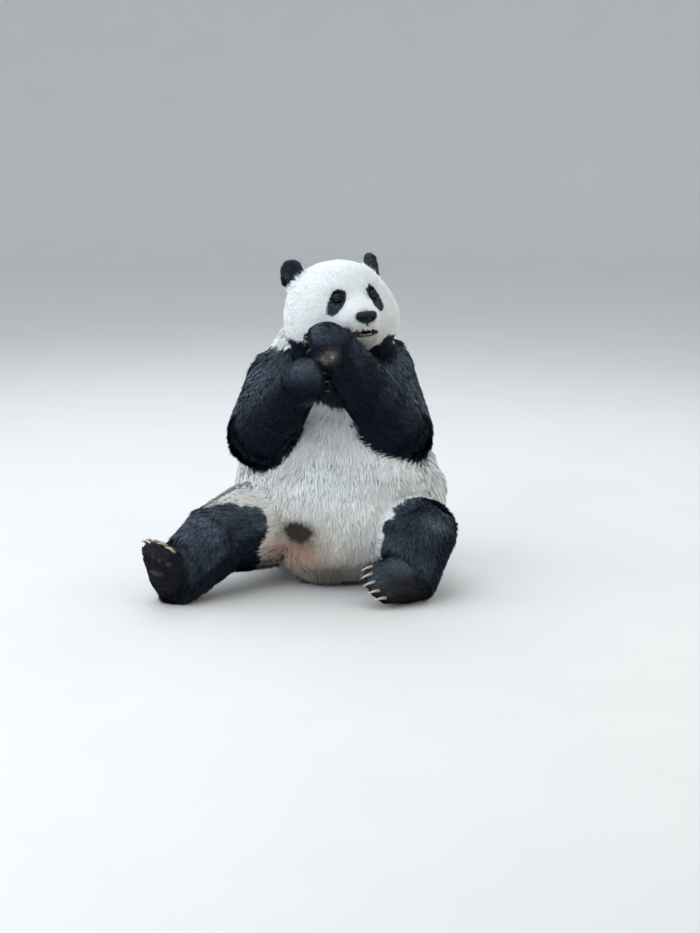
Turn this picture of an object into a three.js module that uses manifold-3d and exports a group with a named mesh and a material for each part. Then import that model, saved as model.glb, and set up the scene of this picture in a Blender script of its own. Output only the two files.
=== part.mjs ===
// A giant panda at life size, sitting back on its rump with both forepaws raised to its mouth.
// Its right hind leg lies stretched out to the side, and its left one is folded with the foot in front.
// Millimetres, +Z up. The belly faces -Y, so the animal's own right is at -X.
// The origin is on the floor, under the middle of the bounding box.
//
// Each sub-part is grown from a few masses of flesh and coat, eggs and tapers, which melt into each other.
// A capsule inside them is drawn out, vertex by vertex, to where those masses end.
// Neighbours are then cut apart with a thin gap, and all that would reach below the floor is cut flat.

import * as THREE from 'three';
import { mergeVertices } from 'three/addons/utils/BufferGeometryUtils.js';
import Module from 'manifold-3d';

const wasm = await Module();
wasm.setup();

// ---------------------------------------------------------------- driving sizes

const GAP = 0.35; // between neighbouring solids
const ROOM = 2000; // larger than the animal, for the half-space under the floor
const SIDES = { R: -1, L: 1 }; // the animal's right is at -X
const TOES = [-2, -1, 0, 1, 2]; // five on each foot, counted from the middle one

// Where the joints are, and how the big blocks of the body are turned, in degrees.
const PELVIS = { at: [5, 40, 178], yaw: -14, pitch: -4 };
const CHEST = { at: [-2, 100, 470], yaw: -4, pitch: -13 };
const HEAD = { at: [18, 15, 784], yaw: 20.5, pitch: -6, roll: -3 };
const NECK = { base: [-8, 105, 625], nape: [22, 50, 745], up: [0.05, -0.3, 1] };
const JOINTS = {
  R: {
    shoulder: [-148, 110, 556],
    elbow: [-206, -66, 434],
    wrist: [-102, -222, 590],
    knuckles: [-58, -284, 640],
    hip: [-178, -30, 178],
    knee: [-322, -165, 154],
    ankle: [-440, -275, 70],
    toes: [-486, -336, 176],
  },
  L: {
    shoulder: [122, 112, 590],
    elbow: [183, -76, 436],
    wrist: [12, -222, 692],
    knuckles: [-62, -264, 786],
    hip: [140, -40, 150],
    knee: [238, -202, 180],
    ankle: [208, -270, 67],
    toes: [62, -368, 68],
  },
};
// Which way the back of each limb faces: the elbow side, the back of the paw, the top of the foot.
const BACKS = {
  R: { arm: [-1, 0.2, -0.6], paw: [-0.75, -0.6, 0.1], leg: [0, -0.4, 1], foot: [0.6, 0.7, 0.3] },
  L: { arm: [1, 0.2, -0.6], paw: [0.1, -0.4, 1], leg: [0.2, -0.4, 1], foot: [0.2, -0.75, 0.6] },
};

const COLOURS = {
  white: { color: 0xe9e6df, roughness: 0.95 },
  black: { color: 0x17191d, roughness: 0.9 },
  leather: { color: 0x0e0f12, roughness: 0.45 },
  horn: { color: 0xd9cfbd, roughness: 0.4 },
  eye: { color: 0x120b07, roughness: 0.08 },
  tongue: { color: 0xb76f6c, roughness: 0.5 },
};

// ---------------------------------------------------------------- masses

const vec = (a) => new THREE.Vector3(...a);
const rad = THREE.MathUtils.degToRad;

/** An ellipsoid. A mass is a function that says how far outside it a point lies. */
function egg(centre, radii, turn = [0, 0, 0]) {
  const rotation = new THREE.Quaternion().setFromEuler(new THREE.Euler(...turn.map(rad), 'ZXY'));
  const inwards = new THREE.Matrix4().compose(vec(centre), rotation, vec([1, 1, 1])).invert();
  const r = vec(radii);
  return (p) => {
    const q = p.clone().applyMatrix4(inwards).divide(r);
    const share = q.length();
    return share < 1e-6 ? -Math.min(...radii) : (share * (share - 1)) / q.divide(r).length();
  };
}

/** A capsule from a to b whose radius runs from ra to rb, flattened along local Z by flat. */
function taper(a, b, ra, rb, flat = 1) {
  const start = vec(a);
  const axis = vec(b).sub(start);
  return (p) => {
    const q = p.clone().sub(start);
    const t = THREE.MathUtils.clamp(q.dot(axis) / axis.lengthSq(), 0, 1);
    q.addScaledVector(axis, -t);
    q.z /= flat;
    return (q.length() - THREE.MathUtils.lerp(ra, rb, t)) * Math.min(1, flat);
  };
}

/** Masses that melt into each other over a width of soft. */
function melt(soft, ...masses) {
  return (p) =>
    masses.reduce((near, mass) => {
      const other = mass(p);
      const h = Math.max(soft - Math.abs(near - other), 0);
      return Math.min(near, other) - (h * h) / (4 * soft);
    }, 1e6);
}

/** The same mass on both sides of local X = 0. */
const paired = (mass) => (p) => mass(new THREE.Vector3(Math.abs(p.x), p.y, p.z));

/** A mass given in a group's own frame, as seen from the panda's frame. */
function seenFrom(group, mass) {
  group.updateWorldMatrix(true, false);
  const inwards = group.matrixWorld.clone().invert();
  return (p) => mass(p.clone().applyMatrix4(inwards));
}

// ---------------------------------------------------------------- frames

const panda = new THREE.Group();

/** A group at a joint, turned by yaw about Z, then pitch about X, then roll about Y. */
function block({ at, yaw = 0, pitch = 0, roll = 0 }) {
  const group = new THREE.Group();
  group.position.set(...at);
  group.rotation.set(rad(pitch), rad(roll), rad(yaw), 'ZXY');
  panda.add(group);
  return group;
}

/** A group at joint a whose +Y runs to joint b and whose +Z is the limb's back. It knows its length. */
function bone(a, b, back) {
  const y = vec(b).sub(vec(a));
  const group = new THREE.Group();
  group.userData.length = y.length();
  const x = y.clone().cross(vec(back)).normalize();
  group.quaternion.setFromRotationMatrix(
    new THREE.Matrix4().makeBasis(x, y.normalize(), x.clone().cross(y)),
  );
  group.position.set(...a);
  panda.add(group);
  return group;
}

// ---------------------------------------------------------------- solids

/** A three.js geometry as a manifold solid. */
function solidOf(geometry) {
  const bare = geometry.clone();
  bare.deleteAttribute('normal');
  bare.deleteAttribute('uv');
  const merged = mergeVertices(bare, 1e-3);
  const corners = merged.index.array;
  const triangles = [];
  for (let i = 0; i < corners.length; i += 3) {
    const [a, b, c] = corners.slice(i, i + 3);
    if (a !== b && b !== c && a !== c) triangles.push(a, b, c);
  }
  return new wasm.Manifold(
    new wasm.Mesh({
      numProp: 3,
      vertProperties: new Float32Array(merged.attributes.position.array),
      triVerts: new Uint32Array(triangles),
    }),
  );
}

/**
 * Draws a capsule out to the edge of a mass, grown by extra. Each vertex slides along the ray
 * that runs to it from the capsule's core, which is a line inside the mass.
 */
function wrap(mass, { core: [a, b], reach, around, along, cap }, extra = 0) {
  const start = vec(a);
  const axis = vec(b).sub(start);
  const length = axis.length();
  const geometry = new THREE.CapsuleGeometry(1, length, cap, around, along);
  const turn = new THREE.Quaternion().setFromUnitVectors(
    new THREE.Vector3(0, 1, 0),
    axis.normalize(),
  );
  const spots = geometry.attributes.position;
  for (let i = 0; i < spots.count; i++) {
    const spot = new THREE.Vector3().fromBufferAttribute(spots, i);
    const foot = new THREE.Vector3(0, THREE.MathUtils.clamp(spot.y, -length / 2, length / 2), 0);
    const ray = spot.sub(foot).normalize().applyQuaternion(turn);
    foot.y += length / 2;
    foot.applyQuaternion(turn).add(start);
    let far = reach;
    for (let step = 0; step < 80 && far > 1; step++) {
      const outside = mass(foot.clone().addScaledVector(ray, far)) - extra;
      if (Math.abs(outside) < 0.02) break;
      far -= 0.7 * outside;
    }
    foot.addScaledVector(ray, Math.max(far, 1));
    spots.setXYZ(i, foot.x, foot.y, foot.z);
  }
  return geometry;
}

// What a new part has to keep clear of: the ground, and the earlier parts with the gap round them.
const taken = [solidOf(new THREE.BoxGeometry(ROOM, ROOM, ROOM).translate(0, 0, -ROOM / 2))];

/** What is left of a solid outside all that is taken. */
const free = (solid) => taken.reduce((left, room) => left.subtract(room), solid);

/** The solid of a mass in a group's frame, in the panda's frame. */
function grown(group, mass, shape, extra = 0) {
  group.updateWorldMatrix(true, false);
  return solidOf(wrap(mass, shape, extra).applyMatrix4(group.matrixWorld));
}

/** Adds a solid to its group as a named mesh, in the group's own frame. Only its largest piece stays. */
function addMesh(name, group, solid, look) {
  const [largest] = solid.decompose().sort((a, b) => b.volume() - a.volume());
  const mesh = largest.getMesh();
  const geometry = new THREE.BufferGeometry()
    .setAttribute('position', new THREE.BufferAttribute(new Float32Array(mesh.vertProperties), 3))
    .setIndex(new THREE.BufferAttribute(new Uint32Array(mesh.triVerts), 1))
    .applyMatrix4(group.matrixWorld.clone().invert());
  geometry.computeVertexNormals();
  const made = new THREE.Mesh(geometry, new THREE.MeshStandardMaterial(COLOURS[look]));
  made.name = name;
  group.add(made);
}

/** All that lies behind a plane, or more than a set distance behind it. Its normal points to the front. */
function behind({ point, normal }, distance) {
  const half = new THREE.BoxGeometry(ROOM, ROOM, ROOM).translate(0, 0, -ROOM / 2 - distance);
  const turn = new THREE.Quaternion().setFromUnitVectors(new THREE.Vector3(0, 0, 1), normal);
  return solidOf(half.applyQuaternion(turn).translate(...point));
}

/** The plane that halves the bend at a joint: first facing the stretch before it, then the one after. */
function mitre(before, joint, after) {
  const toBefore = vec(before).sub(vec(joint)).normalize();
  const normal = toBefore.sub(vec(after).sub(vec(joint)).normalize()).normalize();
  return [
    { point: joint, normal },
    { point: joint, normal: normal.clone().negate() },
  ];
}

/** Makes a sub-part of a mass: what lies in front of all its planes and in free room. */
function part(name, group, look, mass, shape, planes = []) {
  let solid = grown(group, mass, shape);
  let room = grown(group, mass, shape, GAP);
  for (const plane of planes) {
    solid = solid.subtract(behind(plane, -GAP / 2));
    room = room.subtract(behind(plane, GAP / 4));
  }
  addMesh(name, group, free(solid), look);
  taken.push(room);
}

// ---------------------------------------------------------------- trunk, neck and tail

const pelvis = block(PELVIS);
const chest = block(CHEST);
const head = block(HEAD);

const rump = seenFrom(pelvis, egg([0, 55, 5], [262, 205, 192]));
const belly = seenFrom(pelvis, egg([24, -45, 95], [298, 208, 222]));
const groin = seenFrom(pelvis, egg([0, -105, -45], [165, 110, 145]));
const flanks = seenFrom(pelvis, paired(egg([165, -10, 10], [120, 150, 140])));
const ribs = seenFrom(chest, egg([0, 10, 0], [238, 182, 225]));
const loins = egg([0, 105, 330], [240, 165, 190]);
const shoulders = seenFrom(chest, paired(egg([105, 15, 75], [88, 105, 105])));
const nape = taper(NECK.base, NECK.nape, 150, 138);
const column = melt(90, rump, belly, groin, flanks, loins, ribs, shoulders, nape);
const columnShape = {
  core: [[5, 40, 200], [10, 80, 680]],
  reach: 420,
  around: 26,
  along: 11,
  cap: 6,
};
const up = vec(NECK.up).normalize();
part('trunk', panda, 'white', column, columnShape, [
  { point: NECK.base, normal: up.clone().negate() },
]);

part('tail', pelvis, 'white', taper([0, 196, -62], [0, 236, -128], 58, 42, 0.7), {
  core: [[0, 200, -70], [0, 244, -134]],
  reach: 90,
  around: 10,
  along: 2,
  cap: 3,
});

// ---------------------------------------------------------------- head

const EYE = { at: [51, -124, 30], radius: 13 };
const NOSE = { at: [0, -200, -26], radii: [30, 18, 17] };
const EAR = { at: [117, 44, 95], radii: [43, 18, 45], turn: [-8, 33, 52] };
const MOUTH = { at: [0, -166, -69], radii: [40, 72, 9], pitch: 6 };
const TONGUE = { at: [0, -138, -76], radii: [24, 40, 8] };
// The outline of all that moves with the lower jaw, in Y and Z, from the corner of the mouth round.
const JAW = [[-104, -64], [-240, -72], [-240, -250], [-30, -250], [-58, -125]];

const skull = melt(
  45,
  egg([0, 30, 16], [143, 140, 116]),
  egg([0, -48, 46], [102, 88, 72]),
  paired(egg([84, -8, -42], [84, 100, 92])),
  taper([0, -80, -24], [0, -142, -36], 76, 60),
  taper([0, -40, -84], [0, -136, -88], 66, 40),
);

part('nose', head, 'leather', egg(NOSE.at, NOSE.radii, [12, 0, 0]), {
  core: [[-14, ...NOSE.at.slice(1)], [14, ...NOSE.at.slice(1)]],
  reach: 60,
  around: 12,
  along: 3,
  cap: 3,
});
for (const [side, sign] of Object.entries(SIDES)) {
  const [x, y, z] = EYE.at;
  part('eye_' + side, head, 'eye', egg([sign * x, y, z], Array(3).fill(EYE.radius)), {
    core: [[sign * x - 1, y, z], [sign * x + 1, y, z]],
    reach: 30,
    around: 8,
    along: 1,
    cap: 3,
  });
}

/** The room of the lower jaw, drawn in by inset along its upper and rear edges. */
function jawRoom(inset) {
  const outline = JAW.map(([y, z]) => new THREE.Vector2(y - inset, z - inset));
  const wide = { depth: ROOM, bevelEnabled: false };
  const room = new THREE.ExtrudeGeometry(new THREE.Shape(outline), wide).translate(0, 0, -ROOM / 2);
  room.applyMatrix4(new THREE.Matrix4().makeBasis(vec([0, 1, 0]), vec([0, 0, 1]), vec([1, 0, 0])));
  return solidOf(room.applyMatrix4(head.matrixWorld));
}

const headShape = { core: [[0, 45, 0], [0, -120, -25]], reach: 260, around: 26, along: 8, cap: 6 };
const mouthShape = {
  core: [[0, -120, -64], [0, -200, -72]],
  reach: 60,
  around: 10,
  along: 3,
  cap: 3,
};
const mouth = egg(MOUTH.at, MOUTH.radii, [MOUTH.pitch, 0, 0]);
const wholeHead = free(grown(head, skull, headShape)).subtract(grown(head, mouth, mouthShape));
addMesh('head', head, wholeHead.subtract(jawRoom(0)), 'white');
addMesh('jaw', head, wholeHead.intersect(jawRoom(GAP)), 'white');

const headRoom = grown(head, skull, headShape, GAP);
const roundMouth = headRoom.subtract(grown(head, mouth, mouthShape, -GAP));
const tongue = egg(TONGUE.at, TONGUE.radii, [MOUTH.pitch, 0, 0]);
const tongueShape = { ...mouthShape, core: [[0, -120, -76], [0, -180, -78]], along: 2 };
addMesh('tongue', head, grown(head, tongue, tongueShape).subtract(roundMouth), 'tongue');
taken.push(headRoom);

for (const [side, sign] of Object.entries(SIDES)) {
  const [x, y, z] = EAR.at;
  const [pitch, roll, yaw] = EAR.turn;
  part(
    'ear_' + side,
    head,
    'black',
    egg([sign * x, y, z], EAR.radii, [pitch, sign * roll, sign * yaw]),
    { core: [[sign * x, y, z - 4], [sign * x, y, z + 4]], reach: 80, around: 12, along: 1, cap: 4 },
  );
}

part('neck', panda, 'white', column, columnShape, [{ point: NECK.base, normal: up }]);

// ---------------------------------------------------------------- limbs

const LIMB = { around: 14, along: 4, cap: 3, reach: 260 };
const PAW = { around: 12, along: 11, cap: 3, reach: 140 };
const CURVE = 3.5; // how far each toe stands back from the middle one, times its count squared

/** A stretch of limb between two joints, with its radius at each. */
function limb(name, look, from, to, back, fromRadius, toRadius, planes) {
  const group = bone(from, to, back);
  const core = [[0, 0, 0], [0, group.userData.length, 0]];
  part(name, group, look, taper(...core, fromRadius, toRadius), { ...LIMB, core }, planes);
  return group;
}

// The toes of a row: how far apart they stand, where each leaves its foot and how far it bends down there.
// Then the size of a toe, how far its claw stands out from its middle, and the claw's own size.
const HIND_TOES = {
  spread: 23, root: [88, 0], bend: 0, out: 24, radii: [15, 30, 23],
  claw: { at: [40, 4], radius: 8.5, length: 26, sag: 8 },
};
const FORE_TOES = {
  spread: 22, root: [64, -6], bend: 68, out: 20, radii: [15, 27, 22],
  claw: { at: [36, 2], radius: 6.5, length: 30, sag: 14 },
};

/** Where toe i of a curved row leaves its foot, in the foot's frame. */
const toeRoot = (i, { spread, root: [reach, rise] }) => [i * spread, reach - CURVE * i * i, rise];

/** The mass of toe i. */
function toe(i, row) {
  const bend = rad(row.bend);
  const [x, y, z] = toeRoot(i, row);
  const centre = [x, y + row.out * Math.cos(bend), z - row.out * Math.sin(bend)];
  return egg(centre, row.radii, [-row.bend, 0, 0]);
}

/** The claw of toe i: a cone that leaves the toe forwards and bends down to the pad's side by its sag. */
function claw(name, group, i, row) {
  const { at, radius, length, sag } = row.claw;
  const cone = new THREE.ConeGeometry(radius, length, 5, 2);
  const spots = cone.attributes.position;
  for (let k = 0; k < spots.count; k++) {
    const along = spots.getY(k) / length + 0.5;
    spots.setZ(k, spots.getZ(k) - sag * along * along);
  }
  cone.translate(0, at[0] + length / 2, at[1]);
  cone.rotateX(-rad(row.bend)).translate(...toeRoot(i, row));
  group.updateWorldMatrix(true, false);
  addMesh(name, group, free(solidOf(cone.applyMatrix4(group.matrixWorld))), 'horn');
}

const feet = {};
for (const side of Object.keys(SIDES)) {
  const { shoulder, elbow, wrist, knuckles, hip, knee, ankle, toes } = JOINTS[side];
  const backs = BACKS[side];
  const [aboveKnee, belowKnee] = mitre(hip, knee, ankle);
  const [aboveHeel, belowHeel] = mitre(knee, ankle, toes);
  limb('thigh_' + side, 'white', hip, knee, backs.leg, 146, 106, [aboveKnee]);
  limb('shin_' + side, 'black', knee, ankle, backs.leg, 106, 84, [belowKnee, aboveHeel]);
  const foot = bone(ankle, toes, backs.foot);
  const sole = melt(
    24,
    egg([0, 0, 4], [72, 74, 74]),
    egg([0, 58, -2], [64, 66, 48]),
    melt(8, ...TOES.map((i) => toe(i, HIND_TOES))),
  );
  const footShape = { ...PAW, core: [[-30, 55, -6], [30, 55, -6]] };
  part('foot_' + side, foot, 'black', sole, footShape, [belowHeel]);

  const [aboveElbow, belowElbow] = mitre(shoulder, elbow, wrist);
  const [aboveWrist, belowWrist] = mitre(elbow, wrist, knuckles);
  limb('upper_arm_' + side, 'black', shoulder, elbow, backs.arm, 106, 100, [aboveElbow]);
  limb('forearm_' + side, 'black', elbow, wrist, backs.arm, 100, 64, [belowElbow, aboveWrist]);
  const paw = bone(wrist, knuckles, backs.paw);
  const palm = melt(
    24,
    egg([0, 4, -2], [60, 58, 60]),
    egg([0, 46, -2], [62, 48, 50]),
    melt(8, ...TOES.map((i) => toe(i, FORE_TOES))),
  );
  const pawShape = { ...PAW, core: [[-28, 45, -4], [28, 45, -4]] };
  part('paw_' + side, paw, 'black', palm, pawShape, [belowWrist]);
  feet[side] = { foot, paw };
}

for (const [side, { foot, paw }] of Object.entries(feet)) {
  for (const i of TOES) {
    claw(`claw_hind_${side}_${i + 3}`, foot, i, HIND_TOES);
    claw(`claw_fore_${side}_${i + 3}`, paw, i, FORE_TOES);
  }
}

// ---------------------------------------------------------------- origin under the middle

const box = new THREE.Box3().setFromObject(panda, true);
const middle = box.getCenter(new THREE.Vector3());
panda.children.forEach((child) => child.position.sub(new THREE.Vector3(middle.x, middle.y, 0)));

export default panda;
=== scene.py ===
"""A giant panda at life size, sitting and eating: skin, coat, eyes, nose, mouth, claws and studio."""

import math

import bmesh
import bpy
import numpy as np
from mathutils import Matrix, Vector, kdtree
from mathutils.bvhtree import BVHTree


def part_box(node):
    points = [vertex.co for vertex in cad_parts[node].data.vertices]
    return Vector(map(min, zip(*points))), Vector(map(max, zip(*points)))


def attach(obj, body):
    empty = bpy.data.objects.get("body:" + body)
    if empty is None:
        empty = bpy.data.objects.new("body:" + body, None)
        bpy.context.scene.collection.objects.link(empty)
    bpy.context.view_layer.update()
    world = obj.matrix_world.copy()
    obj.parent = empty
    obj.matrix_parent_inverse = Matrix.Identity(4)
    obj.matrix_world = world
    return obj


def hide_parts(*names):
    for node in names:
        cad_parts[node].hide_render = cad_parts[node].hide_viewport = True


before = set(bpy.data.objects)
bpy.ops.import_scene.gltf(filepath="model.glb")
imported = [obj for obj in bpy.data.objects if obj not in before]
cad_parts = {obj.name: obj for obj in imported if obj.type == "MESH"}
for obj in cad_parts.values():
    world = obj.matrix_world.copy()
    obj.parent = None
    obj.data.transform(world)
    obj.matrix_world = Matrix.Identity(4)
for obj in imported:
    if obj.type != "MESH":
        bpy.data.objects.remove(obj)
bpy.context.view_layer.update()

# ---------- driving values, in metres

MM = 0.001
SIDES = {"R": -1.0, "L": 1.0}
LIMBS = ("thigh", "shin", "foot", "upper_arm", "forearm", "paw")
FLESH = ["trunk", "neck", "tail", "head", "jaw"]
FLESH += [f"{part}_{side}" for side in SIDES for part in ("ear", *LIMBS)]
VOXEL = 0.004  # size of the skin's quads
TUFTS = 58000  # in each piece of the coat
PATCH = 0.003  # width of a tuft's patch on the unwrap

# Of each flesh node: depth of the coat, length and width of its hair, and how far the form is smoothed.
COATS = {
    "trunk": (0.019, 0.044, 0.0046, 1.0),
    "neck": (0.019, 0.04, 0.0044, 1.0),
    "tail": (0.012, 0.032, 0.004, 0.6),
    "head": (0.009, 0.023, 0.0026, 0.6),
    "jaw": (0.007, 0.018, 0.0024, 0.6),
    "ear": (0.004, 0.017, 0.0024, 0.12),
    "lid": (0.002, 0.006, 0.0016, 0.0),
    "lip": (0.003, 0.008, 0.002, 0.0),
    "thigh": (0.017, 0.038, 0.0044, 1.0),
    "shin": (0.014, 0.032, 0.004, 1.0),
    "foot": (0.006, 0.015, 0.0028, 0.15),
    "upper_arm": (0.016, 0.036, 0.004, 1.0),
    "forearm": (0.013, 0.032, 0.0038, 1.0),
    "paw": (0.006, 0.016, 0.0028, 0.15),
}

# ---------- small tools


def unit(a):
    """Vectors at length one."""
    return a / np.maximum(np.linalg.norm(a, axis=-1, keepdims=True), 1e-9)


def ramp(low, high, x):
    """0 below low, 1 above high, and smooth between them."""
    t = np.clip((x - low) / (high - low), 0.0, 1.0)
    return t * t * (3.0 - 2.0 * t)


def blob(points, centre, radii):
    """1 at the centre, falling smoothly to 0 at about twice the radii."""
    return np.exp(-(((points - np.asarray(centre)) / np.asarray(radii)) ** 2).sum(-1))


def mottle(points, size, seed, waves=24):
    """Smooth noise from about -1 to 1 whose spots are about size across."""
    rng = np.random.default_rng(seed)
    ways = unit(rng.normal(size=(waves, 3))) * rng.uniform(0.6, 1.6, (waves, 1)) * math.pi / size
    shifts = rng.uniform(0.0, 2.0 * math.pi, waves)
    return np.sin(points @ ways.T + shifts).sum(-1) / math.sqrt(waves / 2.0) * 0.7


def middle(node):
    """The middle of a CAD node's box."""
    low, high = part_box(node)
    return np.array((low + high) / 2.0)


def rows(items, field, width, kind=float):
    """One field of a mesh's items, as rows of numbers."""
    flat = np.empty(len(items) * width, kind)
    items.foreach_get(field, flat)
    return flat.reshape(-1, width)


def corners(node):
    """All vertices of a CAD node."""
    return rows(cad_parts[node].data.vertices, "co", 3)


def axes_of(node):
    """The mean of a CAD node's vertices, and its axes from the longest to the shortest."""
    points = corners(node)
    centre = points.mean(0)
    return centre, np.linalg.svd(points - centre, full_matrices=False)[2]


def towards(axis, way):
    """An axis, turned round where it points against a way."""
    return axis if axis @ way > 0.0 else -axis


def circle(spokes):
    """The cosine and sine of each spoke of a wheel."""
    turns = [2.0 * math.pi * k / spokes for k in range(spokes)]
    return [(math.cos(turn), math.sin(turn)) for turn in turns]


def grid_faces(rings, spokes):
    """Quads between rings of points, each ring outside the last."""
    faces = []
    for low in range(0, (rings - 1) * spokes, spokes):
        high = low + spokes
        for k in range(spokes):
            n = (k + 1) % spokes
            faces.append((low + k, high + k, high + n, low + n))
    return faces


def mesh_of(name, verts, faces):
    """A new mesh from points and faces."""
    mesh = bpy.data.meshes.new(name)
    mesh.from_pydata([tuple(v) for v in verts], [], faces)
    return mesh


def put(name, data):
    """A new object in the scene."""
    thing = bpy.data.objects.new(name, data)
    bpy.context.scene.collection.objects.link(thing)
    return thing


def store(mesh, name, values):
    """Stores a number for each vertex."""
    mesh.attributes.new(name, "FLOAT", "POINT").data.foreach_set("value", values)


def paint(mesh, colours):
    """Stores a tint for each vertex."""
    layer = mesh.color_attributes.new("tint", "FLOAT_COLOR", "POINT")
    layer.data.foreach_set("color", np.column_stack([colours, np.ones(len(colours))]).ravel())


def add_piece(name, mesh, material, nodes=()):
    """A smooth mesh that rides on the root and stands for CAD nodes."""
    mesh.shade_smooth()
    mesh.materials.append(material)
    piece = put(name, mesh)
    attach(piece, "root")
    if nodes:
        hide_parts(*nodes)
    return piece


class Place:
    """A local frame: an origin, and unit axes in the rows of turn."""

    def __init__(self, origin, x, y):
        x, y = unit(np.asarray(x)), np.asarray(y)
        y = unit(y - x * (x @ y))
        self.origin = np.asarray(origin)
        self.turn = np.stack([x, y, np.cross(x, y)])

    def inside(self, points):
        """World points in this frame."""
        return (points - self.origin) @ self.turn.T

    def outside(self, points):
        """This frame's points in the world."""
        return np.asarray(points) @ self.turn + self.origin

    def way(self, direction):
        """This frame's direction in the world."""
        return np.asarray(direction) @ self.turn


# ---------- frames of the head and the feet

# Where the part's source puts the eyes and the nose in the head's own frame.
EYE_AT = np.array([51.0, -124.0, 30.0]) * MM
NOSE_AT = np.array([0.0, -200.0, -26.0]) * MM
MOUTH_AT = np.array([0.0, -166.0, -69.0]) * MM
MOUTH_SIZE = np.array([40.0, 72.0, 9.0]) * MM
EYE_RADIUS = 0.012
EYE_GAZE, EYE_LINE = [0.36, -0.9, 0.1], [0.86, 0.28, -0.3]  # of the left eye, in the head's frame
LID_HALF, LID_UPPER, LID_LOWER = 0.0092, 0.0052, 0.0044  # how far the lids open from the middle
BITE_AXIS = -0.13  # the lips run round this upright line in the head
LIP_ENDS, LIP_OPEN = math.radians(58.0), math.radians(31.0)  # ends of the lips' line, and of the gap


def head_place():
    """The head's frame, from its eyes and nose: +X to its left, -Y ahead, +Z up."""
    right, left, nose = middle("eye_R"), middle("eye_L"), middle("nose")
    across = unit(left - right)
    between = (left + right) / 2.0
    drop = unit(nose - between - across * (across @ (nose - between)))
    normal = np.cross(across, drop)
    fall = NOSE_AT - EYE_AT * [0, 1, 1]
    ahead, down = -fall[1], -fall[2]
    size = math.hypot(ahead, down)
    forward = drop * (ahead / size) - normal * (down / size)
    up = -drop * (down / size) - normal * (ahead / size)
    origin = between + forward * EYE_AT[1] - up * EYE_AT[2]
    return Place(origin, across, -forward)


def eye_place(side):
    """An eye's frame: +X outwards along its lids, and +Z along its gaze."""
    mirror = [SIDES[side], 1.0, 1.0]
    gaze, line = unit(HEAD.way(np.multiply(EYE_GAZE, mirror))), HEAD.way(np.multiply(EYE_LINE, mirror))
    across = unit(line - gaze * (gaze @ line))
    return Place(middle("eye_" + side) - gaze * 0.003, across, np.cross(gaze, across))


def foot_place(foot, claws, bend):
    """A foot's frame: +X along its row of toes, +Y ahead, +Z out of its back. Its toes bend down."""
    row = [middle(f"{claws}_{i}") for i in range(1, 6)]
    place = Place(middle(foot), row[4] - row[0], np.mean(row, axis=0) - middle(foot))
    ahead = place.way([0.0, math.cos(math.radians(bend)), math.sin(math.radians(bend))])
    return Place(place.origin, place.turn[0], ahead)


HEAD = head_place()
EYES = {side: eye_place(side) for side in SIDES}
FEET = {}
for side in SIDES:
    FEET["foot_" + side] = foot_place("foot_" + side, "claw_hind_" + side, 0.0)
    FEET["paw_" + side] = foot_place("paw_" + side, "claw_fore_" + side, 50.0)

# ---------- skin


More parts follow.
